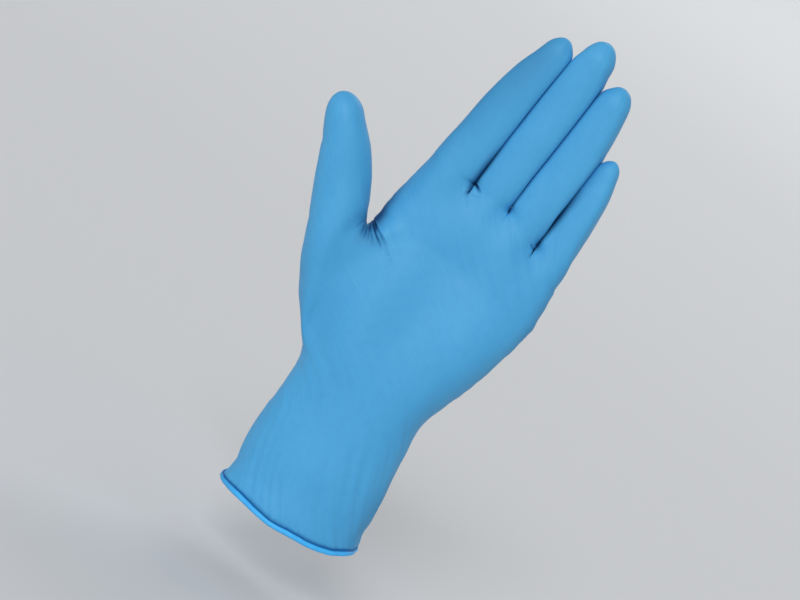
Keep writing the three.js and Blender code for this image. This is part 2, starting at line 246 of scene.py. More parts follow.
# Soft folds, in streaks that run across the hand as the film is stretched over it. slope is how
# far a streak runs towards +X for each millimetre that it falls.
STREAK_RUN = table("z slope", [
    (-10, 0.7),
    (22, 0.6),
    (40, 0.35),
    (56, 0.75),
    (75, 1.6),
    (100, 1.8),
    (122, 1.4),
    (142, 0.95),
    (165, 0.3),
    (240, 0.1),
])
STREAK_ROUND = 24.0  # millimetres for each radian round the cuff
STREAK_ROUND_ENDS = (58, 86)  # heights between which x takes the place of the way round
STREAK_SIDE_Y = 0.5  # depth added on both sides, which softens the turn at the cuff's left and right
STREAK_LEANS = {"x": (-46, -8), "z": (30, 70)}  # below these heights the left streaks stay upright
STREAK_BACK = 0.4  # how much the streaks shift with depth, so that palm and back differ
CUFF_MIDDLE_X = -3.0
STREAKS = table("length along height", [
    (13, 75, 0.15),
    (8.5, 60, 0.13),
    (6.1, 50, 0.11),
    (4.3, 38, 0.06),
    (3.1, 30, 0.034),
])
STREAK_WAVES = 3
STREAK_VARIES = (0.8, 1.25)  # a wave's length against the table's
STREAK_PATCH = {"across": (0.02, 0.09), "up": (0.05, 0.11), "share": 0.45}  # radians for each millimetre
FULL_TURN = 6.3  # radians
# Height from one streak to the next, at which it starts to show and at which it shows fully
STREAK_SHOWS = (3.6, 7.6)
STREAK_THUMB = {"x": (-58, -44), "share": 0.45}  # the thumb's are weaker
STREAK_FINE = 0.1  # fine streaks are drawn out, along their way, by one over this
STREAK_STRENGTH = table("z share", [
    (-6, 0.9),
    (8, 1.5),
    (30, 1.2),
    (46, 0.8),
    (70, 0.75),
    (88, 0.9),
    (140, 0.9),
    (165, 0.45),
    (240, 0.35),
])

# Unevenness of the whole skin: lengths of the waves and their heights
UNEVEN = table("length height", [
    (38, 0.15),
    (23, 0.07),
    (14, 0.03),
])
UNEVEN_WAVES = 7
SEED = 11

# Neighbouring fingers press on each other: within half this gap of the surface where they meet,
# their sides lie flat on it, and further out the push fades
PRESSED = {"gap": 0.9, "fades": 3.4, "kept": 0.02, "calm": 2.6}
# Heights above a web between which that push sets in and its surface turns, and heights above the
# lower tip between which the push ends
MEETING = {"starts": (-5.5, -2.5), "turns": (-2, 18), "ends": (-6, 1)}

# Creases. Each runs from one point to another in the plane of the palm and bends sideways on its
# way; it is this wide and deep in its middle, and its ends fade out.
CREASE = "x z to_x to_z bend width depth"
PALM_CREASES = table(CREASE, [
    # fan of wrinkles at the crotch of the thumb
    (-41.6, 125.2, -28.2, 118.2, 0.6, 0.38, 0.8),
    (-42.6, 125.6, -29.4, 116.8, 0, 0.42, 1.15),
    (-41, 124.6, -35, 121.6, 0.1, 0.4, 0.6),
    (-31, 119.6, -22.8, 112.8, 0.6, 0.4, 0.22),
    (-42, 123.8, -34, 115.6, 0.5, 0.34, 0.45),
    (-41.8, 123.4, -36.4, 115.8, 0.4, 0.32, 0.34),
    (-41.8, 122.8, -39, 116.4, 0.2, 0.3, 0.26),
    (-42.4, 122.8, -41.4, 117.6, 0, 0.3, 0.26),
    (-43.6, 122.8, -44.8, 117.4, -0.2, 0.36, 0.14),
    # end of the slit between index and middle finger
    (-14.4, 159.6, -14.9, 155.6, 0.1, 0.5, 0.6),
    (-13, 161.2, -9.6, 158.4, 0.3, 0.42, 0.5),
    (-12.6, 157.2, -8.4, 157.8, -0.3, 0.55, 0.12),
    # middle and ring finger
    (4.4, 160.4, 4.4, 156.8, 0, 0.6, 0.45),
    # ring and little finger
    (21.9, 153.8, 21.2, 148.8, 0.2, 0.48, 0.85),
    (19, 153.6, 22, 150.4, 0.3, 0.42, 0.34),
])
BACK_CREASES = table(CREASE, [
    (-41.4, 122.8, -31, 116.6, 0.8, 0.6, 0.5),
    (-42.2, 121.6, -36, 113.6, 0.5, 0.6, 0.36),
    (-43.4, 121.2, -45.4, 113.8, -0.2, 0.6, 0.24),
    (-13.9, 151, -13.7, 156, 0, 0.6, 0.4),
    (4.1, 150, 4.3, 155, 0, 0.6, 0.4),
    (21.6, 143, 22, 149, 0, 0.6, 0.4),
])
SIDE_CHANGES = 1.2  # how fast the palm's relief gives way to the back's at the sides
CREASE_LIMIT = 1.0  # where creases meet, their depth nears this
CREASE_LIP = {"height": 0.3, "at": 1.9}  # swelling beside a crease, as shares of its depth and width
CREASE_FADES = {"in": 0.18, "out": (0.45, 1)}  # shares of its length
CREASE_WIDENS = 0.5

# Wide faint pulls of the film across palm and wrist, in the same columns
PALM_PULLS = table(CREASE, [
    (-34, 117, -6, 98, 3, 1.6, 0.12),
    (-34, 110, -6, 90, 3, 1.8, 0.12),
    (-30, 98, 2, 82, 2, 1.5, 0.1),
    (-22, 86, 14, 68, 2, 1.6, 0.12),
    (-20, 74, 16, 52, 2, 1.6, 0.12),
    (8, 142, 32, 116, 3, 1.6, 0.12),
    (16, 144, 36, 124, 3, 1.4, 0.1),
    (-2, 136, 26, 106, 3, 1.8, 0.12),
    # drape of the cuff's right half
    (-12, 34, 0, 6, 1, 1.3, 0.16),
    (-4, 40, 10, 6, 1.4, 1.3, 0.16),
    (4, 46, 18, 8, 1.6, 1.3, 0.18),
    (10, 44, 24, 9, 1.4, 1.2, 0.16),
    (-22, 34, -17, 6, 0.6, 1.3, 0.12),
])

# Small dents and swellings of the outline: place, reach and height (a dent is below nothing)
OUTLINE = table("x y z reach_x reach_y reach_z height", [
    (39.4, 0, 143.4, 5, 12, 0.9, -0.55),  # nick below the little finger
    (40.2, 0, 139.6, 6, 12, 2.4, 0.3),
    (40.6, 0, 133, 6, 12, 5, 0.35),
    (37, 0, 105, 6, 9, 3.2, -0.35),
    (29.2, 0, 80, 6, 9, 2.6, -0.35),
    (-36, 0, 63.6, 4, 6, 2, -0.22),  # corner where the wrist meets the thumb's ball
    (-77.6, -10, 141.4, 5, 10, 1.6, -0.3),
    (-64, -6, 111, 6, 10, 2.2, -0.25),
    (-51, -5, 89, 6, 12, 6.5, -1.2),  # below the thumb's outer side
    (-48, -8, 134, 4, 10, 6, -0.95),  # its inner side, above the crotch
    (-39.4, -8, 127.6, 3, 10, 3, -0.8),  # edge of the palm, across from it
    (-34, 0, 8.5, 5, 9, 3, -0.45),  # the film draws in above the bead
    (-33, -4.6, 4.6, 5, 2.2, 4.6, -0.8),
    (30.6, 0, 12, 5, 9, 3, -0.35),
    (-37.4, 8, 122, 5, 8, 8, -0.35),  # hollow beside the crotch of the thumb
    (-36.4, -9, 119.5, 5, 8, 4.5, -0.55),
    (4.4, -9, 160.6, 2.4, 8, 2.2, -0.4),  # dimple between middle and ring finger
    (21.6, -9, 154, 2, 8, 3, -0.45),
])

# Places painted a deeper blue as shade, on edges turned from the light and beside the thumb, whose share is
# the height
PAINTED_SHADE_PLACES = table(PLACED, [
    (-41, 127, 2.9, 9, 1),  # edge of the palm beside the thumb
    (-39.6, 141, 2.2, 12, 0.5),
    (-36.5, 118.4, 4.4, 3, 0.24),
    (-34.6, 186, 4, 34, 0.18),
    (-30, 194, 10, 26, 0.2),
    (-24, 221, 9, 17, 0.3),
    (40.5, 118, 2.6, 40, 0.24),
    (28.6, 26, 3, 34, 0.22),
])

# Painted shade beside the slits between the fingers, darkest at their lower ends, in the columns of the
# creases
SLIT_SHADES = table(CREASE, [
    (-14.7, 153.6, -13.2, 184, 0, 1.3, 1),
    (-16, 155, -14.9, 182, 0, 2.4, 0.52),
    (-13.8, 161.8, -9.8, 158.6, 0.3, 0.45, 0.8),
    (4.3, 155.4, 5, 182, 0, 0.8, 0.65),
    (21.1, 146.6, 25, 188, 0.4, 1.05, 1),
    (22.4, 147, 26, 192, 0.4, 2.1, 0.44),
])

SLIT_SIDES = 0.9  # how much of these shades the fingers' sides get

# Joints of the fingers, as shares of the way from web to tip: faint folds across the back
JOINTS = (0.36, 0.40, 0.44, 0.70, 0.73)
JOINT_FOLD = {"width": 1.0, "depth": 0.11, "share": 0.62, "bend": 0.6}

# Groove between film and bead: height of its middle above the wall's end, half width, depth and share of
# painted shade in it; and the puckers above it, which crowd and spread a few times round the cuff
GROOVE = {"at": 0.3, "width": 0.55, "depth": 0.34, "shade": 0.5}
PUCKERS = {"count": 46, "height": 0.10, "reach": 3.5, "crowd": 2.2, "crowds": 5, "patches": 4}

# Places where the skin is divided more finely, for the creases: middle and the reach of each step
FINE_PLACES = table("x z coarse fine finest", [
    (-36.4, 119.8, 12.5, 9, 6),
    (-13.8, 159.6, 7.5, 5, 3),
    (4.5, 159.5, 6.5, 4, 2),
    (21.6, 153, 8, 5.2, 3),
])
FINE_DEPTH = {"coarse": 30, "fine": 4, "finest": -2}  # each step's faces lie below this y
FINE_RIM = 3.0  # faces up to this height above the rim are cut once


# Small sums

def smooth(value):
    """0 below 0, 1 above 1, and 3 v^2 - 2 v^3 between."""
    v = np.clip(value, 0, 1)
    return v * v * (3 - 2 * v)


def mix(a, b, share):
    return a + (b - a) * share


def between(value, ends):
    """How far a value is on its way from one end to the other, 0 to 1, with soft ends."""
    return smooth((value - ends[0]) / (ends[1] - ends[0]))


def unit(vectors):
    return vectors / np.linalg.norm(vectors, axis=-1, keepdims=True)


def bell(away, reach):
    """exp(-(away / reach)^2)."""
    return np.exp(-((away / reach) ** 2))


def placed_height(rows, x, z):
    """Sum of height times exp(-(dx/reach)^2 - (dz/reach)^2) over the rows."""
    far_x = (x[..., None] - rows["x"]) / rows["reach_x"]
    far_z = (z[..., None] - rows["z"]) / rows["reach_z"]
    return (rows["height"] * np.exp(-far_x**2 - far_z**2)).sum(axis=-1)


# Net of the skin

def up_finger(finger, z):
    """Share of the way from the webs' height to the tip's."""
    root = sum(finger["webs"]) / 2
    return np.maximum((z - root) / (finger["tip"][2] - root), 0)


def finger_depth(finger, z):
    """y of a finger's middle line: from the root's to the tip's by a power of the way up."""
    return mix(finger["root_y"], finger["tip"][1], up_finger(finger, z) ** FINGER_BEND)


def finger_rings(finger):
    """Rings of eight points along a finger: the middle line plus u across and v through it, with
    both axes square to the line and turned by the twist."""
    rows = finger["sections"]
    straight = len(rows)
    tip_x, _, tip_z = finger["tip"]
    x = (rows["left"] + rows["right"]) / 2
    half = (rows["right"] - rows["left"] - FINGER_GAP) / 2
    z = np.append(rows["z"], mix(rows["z"][-1], tip_z, FINGER_END["along"]))
    x = np.append(x, mix(x[-1], tip_x, FINGER_END["along"]))
    half = np.append(half, half[-1] * FINGER_END["width"])
    nought, one = np.zeros_like(z), np.ones_like(z)
    deep = half * mix(finger["deep"], TIP_DEEP, np.minimum(up_finger(finger, z), 1))
    across = unit(np.stack([one, nought, -np.gradient(x, z)], axis=1))
    tilt = (finger_depth(finger, z + 1) - finger_depth(finger, z - 1)) / 2
    through = unit(np.stack([nought, one, -tilt], axis=1))
    i = np.arange(len(z))
    rounding = smooth((i - straight + FINGER_ROUNDS["before_end"]) / FINGER_ROUNDS["over"])[:, None, None]
    turn = (math.radians(finger["twist"]) * smooth((i + 1) / TWIST_OVER))[:, None]
    section = mix(SQUARE, ROUND, rounding)
    u = section[..., 0] * half[:, None]
    v = section[..., 1] * deep[:, None]
    u, v = u * np.cos(turn) - v * np.sin(turn), u * np.sin(turn) + v * np.cos(turn)
    middle = np.stack([x, finger_depth(finger, z), z], axis=1)
    return middle[:, None] + u[..., None] * across[:, None] + v[..., None] * through[:, None]


def finger_root(finger):
    """Eight points at a finger's root, which rise with the webs at its left and right."""
    left, right = finger["root"]
    half = (right - left - FINGER_GAP) / 2
    u, v = ROOT_SQUARE.T
    web = mix(*finger["webs"], (1 + np.sign(u)) / 2)
    x = (left + right) / 2 + u * half
    y = finger["root_y"] + v * half * finger["deep"] * ROOT_FULLER
    return np.stack([x, y, web + ROOT_RISE], axis=1)


def finger_tip(finger):
    tip_x, _, tip_z = finger["tip"]
    return np.array([tip_x, finger_depth(finger, tip_z), tip_z])


def thumb_rings():
    """Rings of eight points along the thumb, from the middle of the palm side past the inner side:
    the middle of each section plus u inwards and v through it."""
    outer = np.stack([THUMB["outer_x"], THUMB["y"], THUMB["outer_z"]], axis=1)
    inner = np.stack([THUMB["inner_x"], THUMB["y"], THUMB["inner_z"]], axis=1)
    middle, inwards = (outer + inner) / 2, (inner - outer) / 2
    u, v = np.roll(ROUND, -1, axis=0).T
    rings = middle[:, None] + u[:, None] * inwards[:, None]
    rings[..., 1] += v * THUMB["half_depth"][:, None]
    last = rings[-1]
    centre = last.mean(axis=0)
    ends = [(last - centre) * width + mix(centre, THUMB_TIP, along) for along, width in THUMB_END]
    return np.concatenate([rings, ends])


def rim_height(x, y):
    return RIM["middle"] + RIM["per_x"] * x + RIM["per_y"] * y


def hand_rings(roots):
    """Rings round the hand: palm side left to right, right side, back right to left, left side.
    x is the middle plus a share of the half width, y the depth times (1 - |share|^full)^(1/full)
    with the mounds on it, and z leans at the rim and dips below the little finger."""
    z, left, right, full = (HAND[name][:, None] for name in ("z", "left", "right", "full"))
    even = -np.cos(np.pi * np.arange(1, COLUMNS + 1) / (COLUMNS + 1))
    root_x = np.concatenate([root[:3, 0] for root in roots])
    low, high = HAND["left"][-1], HAND["right"][-1]
    share = mix(even, (2 * root_x - low - high) / (high - low), between(z, COLUMNS_MOVE))
    x = (left + right) / 2 + share * (right - left) / 2
    swell = (1 - np.abs(share) ** full) ** (1 / full)
    raised = np.minimum(MOUNDS_FULL * swell, 1)
    high_z = np.broadcast_to(z, x.shape)
    front = HAND["palm"][:, None] * swell + raised * placed_height(PALM_MOUNDS, x, high_z)
    rear = HAND["back"][:, None] * swell + raised * placed_height(KNUCKLES, x, high_z)
    at = THUMB_ROOT["section"].astype(int)
    beside = between(-share[at], THUMB_BESIDE)
    front[at] = mix(front[at], THUMB_ROOT["palm"][:, None], beside)
    rear[at] = mix(rear[at], THUMB_ROOT["back"][:, None], beside)
    ring_x = np.concatenate([x, right, x[:, ::-1], left], axis=1)
    ring_y = np.concatenate([-front, 0 * z, rear[:, ::-1], 0 * z], axis=1)
    ring_z = np.broadcast_to(z, ring_x.shape)
    lean = (1 - smooth(z / RIM["fades_at"])) * rim_height(ring_x, ring_y)
    dip = LITTLE_DIP["depth"] * between(z, LITTLE_DIP["z"]) * between(ring_x, LITTLE_DIP["x"])
    return np.stack([ring_x, ring_y, ring_z + lean - dip], axis=2)


def band(low, high):
    """Four-sided faces between two closed rings of point ids."""
    return np.stack([low, np.roll(low, -1), np.roll(high, -1), high], axis=1)


def limb(base, rings, tip, first_corner, first_id):
    """Points and faces of a limb that grows from a base ring of ids to its tip. first_corner is
    the first point of the last ring that isn't on the cross through the tip."""
    ids = first_id + np.arange(len(rings) * 8).reshape(-1, 8)
    levels = np.vstack([base, ids])
    faces = [band(low, high) for low, high in zip(levels, levels[1:])]
    last = levels[-1]
    corners = np.arange(first_corner, 8, 2)
    tip_id = np.full(4, ids[-1, -1] + 1)
    end = [last[corners], last[(corners + 1) % 8], last[(corners + 2) % 8], tip_id]
    faces.append(np.stack(end, axis=1))
    return np.vstack([rings.reshape(-1, 3), tip]), np.vstack(faces)


def skin_net():
    """The whole skin as four-sided faces: rings round the hand, a hole where the thumb leaves it,
    the finger roots with a web between each two, and rings along each limb to its tip."""
    fingers = list(FINGERS.values())
    roots = [finger_root(finger) for finger in fingers]
    palm_side, back_side = [root[:3] for root in roots], [root[4:7] for root in roots[::-1]]
    top = [*palm_side, roots[-1][3:4], *back_side, roots[0][7:8]]
    rings = np.concatenate([hand_rings(roots), np.vstack(top)[None]])
    height, round_ = rings.shape[:2]
    ids = np.arange(height * round_).reshape(height, round_)
    left_side, back_last = round_ - 1, round_ - 2
    hole_low, hole_middle, hole_high = THUMB_ROOT["section"].astype(int)
    faces = []
    for j in range(height - 1):
        strip = band(ids[j], ids[j + 1])
        faces.append(strip[:back_last] if hole_low <= j < hole_high else strip)
    points = [rings.reshape(-1, 3)]
    count = height * round_

    inner_sides = np.vstack([[a[3], b[7]] for a, b in zip(roots, roots[1:])])
    points.append(inner_sides)
    right_of = [*(count + 2 * np.arange(3)), ids[-1, COLUMNS]]
    left_of = [ids[-1, left_side], *(count + 1 + 2 * np.arange(3))]
    count += len(inner_sides)
    bases = []
    for f in range(len(fingers)):
        front = ids[-1, 3 * f : 3 * f + 3]
        first_back = COLUMNS + 1 + 3 * (len(fingers) - 1 - f)
        rear = ids[-1, first_back : first_back + 3]
        bases.append(np.array([*front, right_of[f], *rear, left_of[f]]))
    for a, b in zip(bases, bases[1:]):
        faces.append(np.array([[a[2], b[0], b[7], a[3]], [a[3], b[7], b[6], a[4]]]))

    low, middle, high = ids[hole_low], ids[hole_middle], ids[hole_high]
    hole = np.array([middle[0], high[0], high[left_side], high[back_last],
                     middle[back_last], low[back_last], low[left_side], low[0]])
    limbs = [(base, finger_rings(finger), finger_tip(finger), 1) for base, finger in zip(bases, fingers)]
    limbs.append((hole, thumb_rings(), THUMB_TIP, 0))
    for base, limb_rings, tip, first_corner in limbs:
        new_points, new_faces = limb(base, limb_rings, tip, first_corner, count)
        points.append(new_points)
        faces.append(new_faces)
        count += len(new_points)
    points, faces = np.vstack(points), np.vstack(faces)
    used, faces = np.unique(faces, return_inverse=True)
    return points[used], faces.reshape(-1, 4)


# Smooth skin through the net, by Catmull and Clark's rules for four-sided faces

def edges_of(quads):
    """All edges once, the edge of each side of each face, and in how many faces each edge is."""
    pairs = np.stack([quads, np.roll(quads, -1, axis=1)], axis=2).reshape(-1, 2)
    edges, which, uses = np.unique(np.sort(pairs, axis=1), axis=0, return_inverse=True, return_counts=True)
    return edges, which.reshape(quads.shape), uses


def gathered(count, targets, values):
    """For each of count points, the sum of the values that go to it."""
    total = np.zeros((count, 3))
    np.add.at(total, targets, values)
    return total


def surroundings(points, quads):
    """For each point: its number of edges n, and the sums of the points over its edges (near),
    across its faces (far) and next to it along the open rim (rim), with a mask of the rim."""
    edges, _, uses = edges_of(quads)
    a, b = edges.T
    n = np.bincount(edges.ravel(), minlength=len(points))[:, None]
    near = gathered(len(points), np.r_[a, b], points[np.r_[b, a]])
    far = gathered(len(points), quads.ravel(), points[np.roll(quads, -2, axis=1).ravel()])
    a, b = edges[uses == 1].T
    rim = gathered(len(points), np.r_[a, b], points[np.r_[b, a]])
    is_open = np.zeros((len(points), 1), bool)
    is_open[a] = is_open[b] = True
    return n, near, far, rim, is_open


def on_skin(points, quads):
    """Where the points end on the smooth skin: (n n p + 4 near + far) / (n (n + 5)), and on the
    open rim (4 p + rim) / 6."""
    n, near, far, rim, is_open = surroundings(points, quads)
    return np.where(is_open, (4 * points + rim) / 6, (n * n * points + 4 * near + far) / (n * (n + 5)))


def fitted(points, quads):
    """Moves the net until the smooth skin passes through the points that it was given."""
    moved = points
    for _ in range(FIT_ROUNDS):
        moved = moved + points - on_skin(moved, quads)
    return moved


def divided(points, quads):
    """Each face becomes four. A point moves to ((n - 7/4) n p + 3/2 near + 1/4 far) / (n n), and
    on the open rim to (6 p + rim) / 8; an edge's point is the mean of its ends and its faces' middles."""
    n, near, far, rim, is_open = surroundings(points, quads)
    kept = np.where(is_open, (6 * points + rim) / 8,
                    ((n - 1.75) * n * points + 1.5 * near + 0.25 * far) / (n * n))
    middles = points[quads].mean(axis=1)
    edges, which, uses = edges_of(quads)
    ends = points[edges].sum(axis=1)
    beside = gathered(len(edges), which.ravel(), np.repeat(middles, 4, axis=0))
    on_edges = np.where(uses[:, None] == 2, (ends + beside) / 4, ends / 2)
    after = len(points) + which
    centre = np.repeat(len(points) + len(edges) + np.arange(len(quads))[:, None], 4, axis=1)
    fine = np.stack([quads, after, centre, np.roll(after, 1, axis=1)], axis=2)
    return np.vstack([kept, on_edges, middles]), fine.reshape(-1, 4)


def outward_normals(points, quads):
    """At each point, the unit sum of the cross products of its faces' diagonals."""
    a, b, c, d = (points[quads[:, k]] for k in range(4))
    across = np.cross(c - a, d - b)
    return unit(gathered(len(points), quads.ravel(), np.repeat(across, 4, axis=0)))


def skin(points, quads, levels):
    """The smooth skin after that many divisions, with its normals."""
    for _ in range(levels):
        points, quads = divided(points, quads)
    points = on_skin(points, quads)
    return points, outward_normals(points, quads), quads


def cut_finer(points, normals, quads, chosen):
    """Cuts the chosen faces into four. A new point on an edge is its middle, raised along the
    normal by (nb - na) . (b - a) / 8, which keeps it on the round surface; a new middle is raised
    by twice the mean of its edges. A face beside a cut one takes the new points into its outline,
    whose free places hold -1."""
    edges, which, _ = edges_of(quads)
    cut = np.zeros(len(edges), bool)
    cut[which[chosen]] = True
    a, b = edges[cut].T
    rise = np.zeros(len(edges))
    rise[cut] = ((normals[b] - normals[a]) * (points[b] - points[a])).sum(axis=1) / 8
    edge_normals = unit(normals[a] + normals[b])
    on_edges = (points[a] + points[b]) / 2 + rise[cut, None] * edge_normals
    edge_ids = np.full(len(edges), -1)
    edge_ids[cut] = len(points) + np.arange(cut.sum())
    corners = quads[chosen]
    middle_normals = unit(normals[corners].sum(axis=1))
    middle_rise = 2 * rise[which[chosen]].mean(axis=1)
    middles = points[corners].mean(axis=1) + middle_rise[:, None] * middle_normals
    first = len(points) + cut.sum()
    centre = np.repeat(first + np.arange(len(corners))[:, None], 4, axis=1)
    after = edge_ids[which[chosen]]
    children = np.stack([corners, after, centre, np.roll(after, 1, axis=1)], axis=2).reshape(-1, 4)
    whole = quads[~chosen]
    beside = edge_ids[which[~chosen]]
    plain = (beside < 0).all(axis=1)
    outlines = np.stack([whole[~plain], beside[~plain]], axis=2).reshape(-1, 8)
    points = np.vstack([points, on_edges, middles])
    normals = np.vstack([normals, edge_normals, middle_normals])
    return points, normals, np.vstack([children, whole[plain]]), outlines


def in_fine_places(points, quads, reach):
    """Whether the middle of each face lies within one of the fine places, seen from the palm, and
    not too far back."""
    x, y, z = points[quads].mean(axis=1).T
    far = np.hypot(x[:, None] - FINE_PLACES["x"], z[:, None] - FINE_PLACES["z"])
    return (far < FINE_PLACES[reach]).any(axis=1) & (y < FINE_DEPTH[reach])


# Relief of the skin: heights along the normal

def toward_palm(normals, at_sides=0.5):
    """1 where the skin faces the palm's way, 0 where it faces back, and a share at the sides."""
    return smooth(at_sides - SIDE_CHANGES * normals[:, 1])


def above_rim(points):
    x, y, z = points.T
    return z - rim_height(x, y)


def streak_place(points):
    """Across the streaks: the way round the cuff, or x further up, plus what the streaks have run
    since the cuff, which is the sum of their slopes over the height. At the cuff's left they stay
    upright."""
    x, y, z = points.T
    round_cuff = STREAK_ROUND * np.arctan2(x - CUFF_MIDDLE_X, np.abs(y) + STREAK_SIDE_Y)
    across = mix(round_cuff, x, between(z, STREAK_ROUND_ENDS))
    steps = np.arange(STREAK_RUN["z"][0], STREAK_RUN["z"][-1])
    run = np.interp(z, steps, np.cumsum(np.interp(steps, STREAK_RUN["z"], STREAK_RUN["slope"])))
    leaning = mix(between(x, STREAK_LEANS["x"]), 1.0, between(z, STREAK_LEANS["z"]))
    return across + STREAK_BACK * y + run * leaning


def streak_height(points):
    """Sum of sines of the place across the streaks and, far slower, of the height, for each length
    in the table, stronger in some patches than in others and weaker on the thumb. Where the slope
    brings them so close above each other that the skin's faces couldn't show them, they fade."""
    random = np.random.default_rng(SEED)
    place, z = streak_place(points), points[:, 2]
    slope = np.interp(z, STREAK_RUN["z"], STREAK_RUN["slope"])
    total = np.zeros(len(points))
    for row in STREAKS:
        height = row["height"] * between(row["length"] / slope, STREAK_SHOWS)
        for _ in range(STREAK_WAVES):
            length = row["length"] * random.uniform(*STREAK_VARIES)
            turns = place / length + z * random.uniform(-1, 1) / row["along"]
            patch = place * random.uniform(*STREAK_PATCH["across"])
            patch = patch + z * random.uniform(*STREAK_PATCH["up"])
            patch = np.sin(patch + random.uniform(0, FULL_TURN))
            strong = 1 - STREAK_PATCH["share"] + STREAK_PATCH["share"] * patch
            total += height * strong * np.sin(2 * np.pi * (turns + random.uniform(0, 1)))
    strength = np.interp(z, STREAK_STRENGTH["z"], STREAK_STRENGTH["share"])
    strength *= mix(STREAK_THUMB["share"], 1, between(points[:, 0], STREAK_THUMB["x"]))
    return total * strength / math.sqrt(STREAK_WAVES)


def uneven_height(points):
    """Sum of sines of the place along a few directions, for each wave length in the table."""
    random = np.random.default_rng(SEED + 1)
    total = np.zeros(len(points))
    for row in UNEVEN:
        directions = unit(random.normal(size=(UNEVEN_WAVES, 3)))
        phases = random.uniform(0, 2 * np.pi, UNEVEN_WAVES)
        waves = np.sin(points @ directions.T * (2 * np.pi / row["length"]) + phases)
        total += row["height"] * waves.sum(axis=1) / math.sqrt(UNEVEN_WAVES)
    return total


def outline_height(points):
    """Sum of height times exp(-(dx/reach)^2 - (dy/reach)^2 - (dz/reach)^2) over the outline's table."""
    total = np.zeros(len(points))
    for row in OUTLINE:
        place = np.array([row["x"], row["y"], row["z"]])
        reach = np.array([row["reach_x"], row["reach_y"], row["reach_z"]])
        total += row["height"] * np.exp(-(((points - place) / reach) ** 2).sum(axis=1))
    return total


def meeting(points):
    """For each two neighbouring fingers: how far a point lies in x from the surface where they
    meet, and how much they press there, 0 to 1. That surface is midway between their sides, and
    turns with their sections."""
    x, y, z = points.T
    fingers = list(FINGERS.values())
    found = []
    for a, b in zip(fingers, fingers[1:]):
        web, end = a["webs"][1], min(a["tip"][2], b["tip"][2])
        right = np.interp(z, [web, *a["sections"]["z"]], [a["root"][1], *a["sections"]["right"]])
        left = np.interp(z, [web, *b["sections"]["z"]], [b["root"][0], *b["sections"]["left"]])
        turn = math.radians((a["twist"] + b["twist"]) / 2) * between(z, np.add(web, MEETING["turns"]))
        depth = (finger_depth(a, z) + finger_depth(b, z)) / 2
        away = x - (right + left) / 2 + np.tan(turn) * (y - depth)
        starts, ends = np.add(web, MEETING["starts"]), np.add(end, MEETING["ends"])
        strength = between(z, starts) * (1 - between(z, ends))
        found.append((away, strength))
    return found


def calm(points):
    """0 where fingers meet and 1 away from there, for relief that must not push them together."""
    share = np.ones(len(points))
    for away, strength in meeting(points):
        share *= 1 - strength * (1 - smooth(np.abs(away) / PRESSED["calm"]))
    return share


def pressed(points):
    """Moves points in x towards the surface where fingers meet, by the gap at the surface and less
    further off, and keeps both sides just apart."""
    moved = points.copy()
    for away, strength in meeting(points):
        far = np.abs(away)
        push = PRESSED["gap"] * strength * (1 - smooth((far - PRESSED["gap"]) / PRESSED["fades"]))
        left = np.maximum(far - push, np.minimum(far, PRESSED["kept"]))
        moved[:, 0] += np.sign(away) * (left - far)
    return moved


def groove_height(points):
    """A groove above the bead, exp(-((h - at) / width)^2), which gives way to a flare at the mouth's
    left and right ends, and small puckers, sines of the angle that fade above it."""
    h = above_rim(points)
    angle = np.arctan2(points[:, 1], points[:, 0] - CUFF_MIDDLE_X)
    ends = np.abs(np.cos(angle)) ** BEAD_ENDS["power"]
    flare = BEAD_ENDS["flare"] * ends * bell(np.maximum(h, 0), BEAD_ENDS["reach"])
    groove = -GROOVE["depth"] * (1 - ends) * bell(h - GROOVE["at"], GROOVE["width"])
    crowded = PUCKERS["count"] * angle + PUCKERS["crowd"] * np.sin(PUCKERS["crowds"] * angle)
    gather = np.sin(crowded) * (0.5 + 0.5 * np.sin(PUCKERS["patches"] * angle + 1))
    return flare + groove + PUCKERS["height"] * gather * np.exp(-np.maximum(h, 0) / PUCKERS["reach"])


def crease_depth(points, rows):
    """For each row, exp(-(d/width)^2) less a lip at each side, times the depth, where d is the
    distance to the bent line in the palm's plane. The line widens and fades on its way."""
    x, _, z = points.T
    total = np.zeros(len(points))
    for row in rows:
        along = np.array([row["to_x"] - row["x"], row["to_z"] - row["z"]])
        length = np.hypot(*along)
        along = along / length
        dx, dz = x - row["x"], z - row["z"]
        t = (dx * along[0] + dz * along[1]) / length
        d = dz * along[0] - dx * along[1] - row["bend"] * 4 * t * (1 - t)
        fades = smooth(t / CREASE_FADES["in"]) * (1 - between(t, CREASE_FADES["out"]))
        width = row["width"] * (1 + CREASE_WIDENS * np.clip(t, 0, 1))
        lip = CREASE_LIP["height"] * bell(np.abs(d) - CREASE_LIP["at"] * width, width)
        total += row["depth"] * fades * (bell(d, width) - lip)
    return total


def joint_folds():
    """Rows of creases across the backs of the fingers, at their joints."""
    rows = []
    for finger in FINGERS.values():
        sections = finger["sections"]
        root = sum(finger["webs"]) / 2
        for share in JOINTS:
            z = mix(root, finger["tip"][2], share)
            left = np.interp(z, sections["z"], sections["left"])
            right = np.interp(z, sections["z"], sections["right"])
            middle, half = (left + right) / 2, (right - left) / 2 * JOINT_FOLD["share"]
            rows.append((middle - half, z, middle + half, z + 0.6,
                         JOINT_FOLD["bend"], JOINT_FOLD["width"], JOINT_FOLD["depth"]))
    return table(CREASE, rows)


def broad_relief(points, normals):
    """Everything but the sharp creases, in millimetres along the normal."""
    pulls = toward_palm(normals) * crease_depth(points, PALM_PULLS)
    soft = streak_height(points) + uneven_height(points) - pulls
    return soft * calm(points) + outline_height(points) + groove_height(points)


def sharp_relief(points, normals):
    """Depth of the creases on each side, in millimetres."""
    palm = toward_palm(normals)
    back_rows = np.concatenate([BACK_CREASES, joint_folds()])
    depth = palm * crease_depth(points, PALM_CREASES) + (1 - palm) * crease_depth(points, back_rows)
    return CREASE_LIMIT * np.tanh(depth / CREASE_LIMIT)


